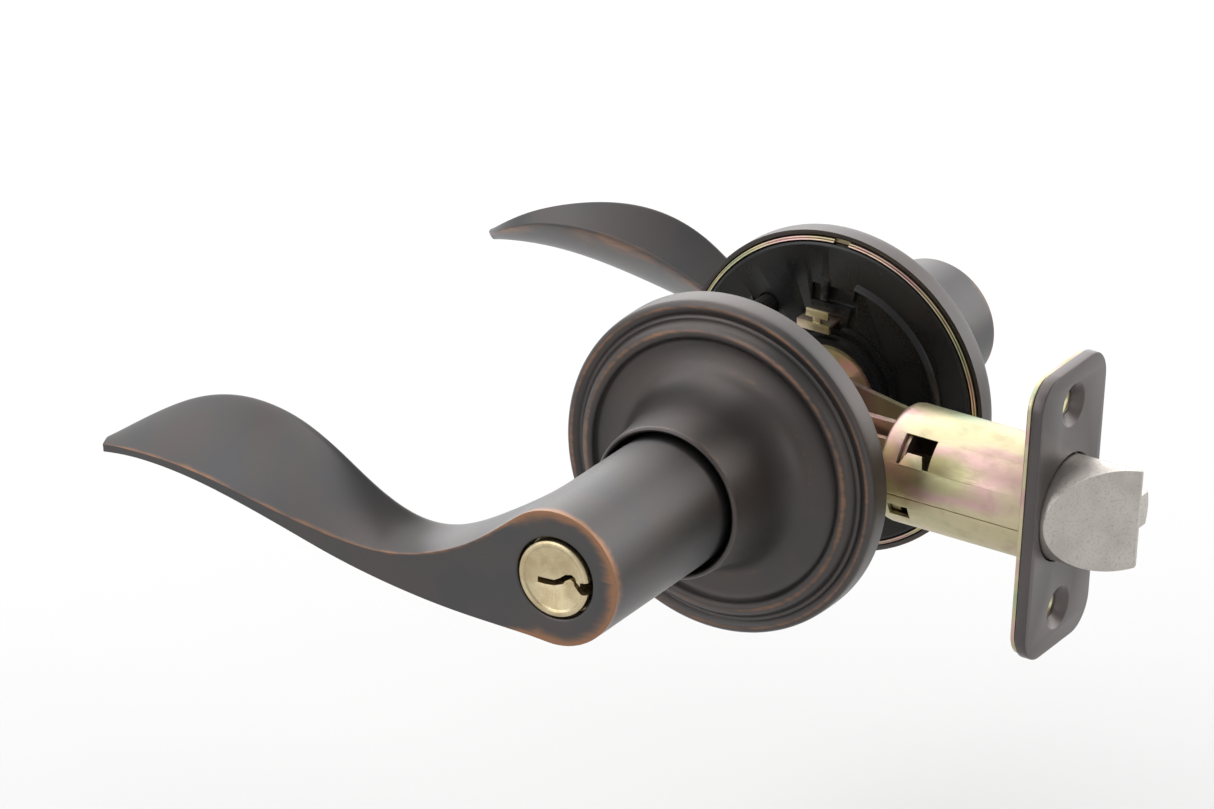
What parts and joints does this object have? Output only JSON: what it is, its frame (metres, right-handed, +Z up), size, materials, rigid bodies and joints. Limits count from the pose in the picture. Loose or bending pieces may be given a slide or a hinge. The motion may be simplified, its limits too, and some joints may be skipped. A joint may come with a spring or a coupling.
{
  "type": "lever handle lockset",
  "caption": "Keyed entry lever lockset with wave-shaped levers on round stepped roses and a tubular deadlatch with a bevelled bolt and a round-cornered faceplate.",
  "frame": {"origin": "the point where the lever axis crosses the latch axis, in the middle of the door's thickness", "axes": "+X along the latch towards the door's edge and the bolt's tip, -Y towards the outside (keyed) lever, +Y towards the inside lever, +Z up"},
  "size_m": [0.1734, 0.1493, 0.066],
  "materials": {
    "oil_rubbed_bronze": "satin dark bronze with copper rubbed through along the edges",
    "bronze_plate": "satin brown bronze",
    "yellow_zinc": "yellow zinc plating, slightly iridescent",
    "satin_nickel": "satin cast metal",
    "key_brass": "pale polished brass",
    "steel": "bright spring steel",
    "black_moulding": "black satin moulding"
  },
  "bodies": {
    "root": {"exterior_rose": "oil_rubbed_bronze", "exterior_mounting_plate": "yellow_zinc", "threaded_post_upper": "yellow_zinc", "threaded_post_lower": "yellow_zinc", "exterior_return_spring": "steel", "interior_rose": "oil_rubbed_bronze", "interior_rose_liner": "black_moulding", "interior_mounting_plate": "yellow_zinc", "rose_spring_clip": "yellow_zinc", "mounting_screw_upper": "oil_rubbed_bronze", "mounting_screw_lower": "oil_rubbed_bronze", "interior_return_spring": "steel", "latch_cage": "yellow_zinc", "latch_tube": "yellow_zinc", "latch_faceplate": "bronze_plate", "latch_backplate": "yellow_zinc", "bolt_spring": "steel"},
    "outside_handle": {"exterior_lever": "oil_rubbed_bronze", "exterior_sleeve": "yellow_zinc", "cylinder_shell": "key_brass", "lever_catch": "steel"},
    "inside_handle": {"interior_lever": "oil_rubbed_bronze", "interior_sleeve": "yellow_zinc", "lever_set_screw": "steel"},
    "spindle": {"square_spindle": "yellow_zinc", "retractor_hub": "key_brass"},
    "key_train": {"key_plug": "key_brass", "plug_retainer": "steel", "cylinder_tailpiece": "steel"},
    "turn_train": {"turn_button": "oil_rubbed_bronze", "locking_bar": "steel"},
    "bolt": {"latch_bolt": "satin_nickel", "drawbar": "yellow_zinc", "plunger_spring": "steel"},
    "plunger": {"deadlock_plunger": "satin_nickel"}
  },
  "joints": [
    {"name": "outside_lever_turn", "type": "hinge", "parent": "root", "child": "outside_handle", "pos_m": [0, -0.0435, 0], "axis": [0, 1, 0], "range_deg": [-55, 0], "stiffness_Nm_per_rad": 0.9, "springref_deg": 25.78},
    {"name": "inside_lever_turn", "type": "hinge", "parent": "root", "child": "inside_handle", "pos_m": [0, 0.0435, 0], "axis": [0, 1, 0], "range_deg": [-55, 0]},
    {"name": "spindle_turn", "type": "hinge", "parent": "root", "child": "spindle", "pos_m": [0, 0, 0], "axis": [0, 1, 0], "range_deg": [-55, 0]},
    {"name": "bolt_slide", "type": "slide", "parent": "root", "child": "bolt", "axis": [1, 0, 0], "range_m": [-0.0128, 0], "deforming": ["bolt_spring"]},
    {"name": "plunger_slide", "type": "slide", "parent": "bolt", "child": "plunger", "axis": [1, 0, 0], "range_m": [-0.0085, 0], "stiffness_N_per_m": 80, "springref_m": 0.003, "deforming": ["plunger_spring"]},
    {"name": "key_turn", "type": "hinge", "parent": "outside_handle", "child": "key_train", "pos_m": [0, -0.0828, 0], "axis": [0, 1, 0], "range_deg": [0, 90]},
    {"name": "button_turn", "type": "hinge", "parent": "inside_handle", "child": "turn_train", "pos_m": [0, 0.0603, 0], "axis": [0, 1, 0], "range_deg": [0, 90]}
  ],
  "couplings": [
    {"joint": "inside_lever_turn", "follows": "outside_lever_turn", "ratio": 1},
    {"joint": "spindle_turn", "follows": "outside_lever_turn", "ratio": 1},
    {"joint": "bolt_slide", "follows": "outside_lever_turn", "m_per_rad": 0.01323},
    {"joint": "button_turn", "follows": "key_turn", "ratio": 1}
  ]
}
